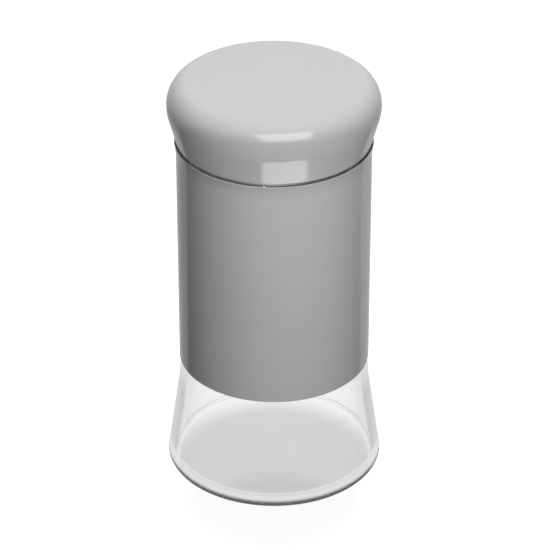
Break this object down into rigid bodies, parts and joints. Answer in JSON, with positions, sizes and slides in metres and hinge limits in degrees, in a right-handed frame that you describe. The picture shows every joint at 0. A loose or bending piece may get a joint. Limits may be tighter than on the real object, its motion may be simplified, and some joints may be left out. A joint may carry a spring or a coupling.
{
  "type": "dry food storage jar",
  "caption": "Clear glass storage jar with a flared base, a painted steel sleeve round its body and a glossy domed screw lid.",
  "frame": {"origin": "centre of the foot, on the surface that the jar stands on", "axes": "+Z is the jar's axis, from the foot up to the lid; -Y is the front, where the weld nub on the sleeve's top edge is"},
  "size_m": [0.108, 0.108, 0.21],
  "materials": {
    "clear_glass": "clear, polished, pressed",
    "grey_painted_steel": "smooth gloss enamel",
    "clear_adhesive": "milky, dull",
    "grey_gloss_plastic": "smooth gloss, moulded",
    "white_plastic": "satin, moulded",
    "soft_seal": "matt, soft"
  },
  "bodies": {
    "jar": {"glass_jar": "clear_glass", "steel_sleeve": "grey_painted_steel", "adhesive_band": "clear_adhesive"},
    "seal": {"seal_ring": "soft_seal"},
    "lid": {"lid_shell": "grey_gloss_plastic", "lid_insert": "white_plastic"}
  },
  "joints": [
    {"name": "lid_rise", "type": "slide", "parent": "jar", "child": "seal", "axis": [0, 0, 1], "range_m": [0, 0.024]},
    {"name": "lid_turn", "type": "hinge", "parent": "seal", "child": "lid", "pos_m": [0, 0, 0.19], "axis": [0, 0, 1], "range_deg": [0, 1440]}
  ],
  "couplings": [
    {"joint": "lid_rise", "follows": "lid_turn", "m_per_rad": 0.00095493}
  ]
}
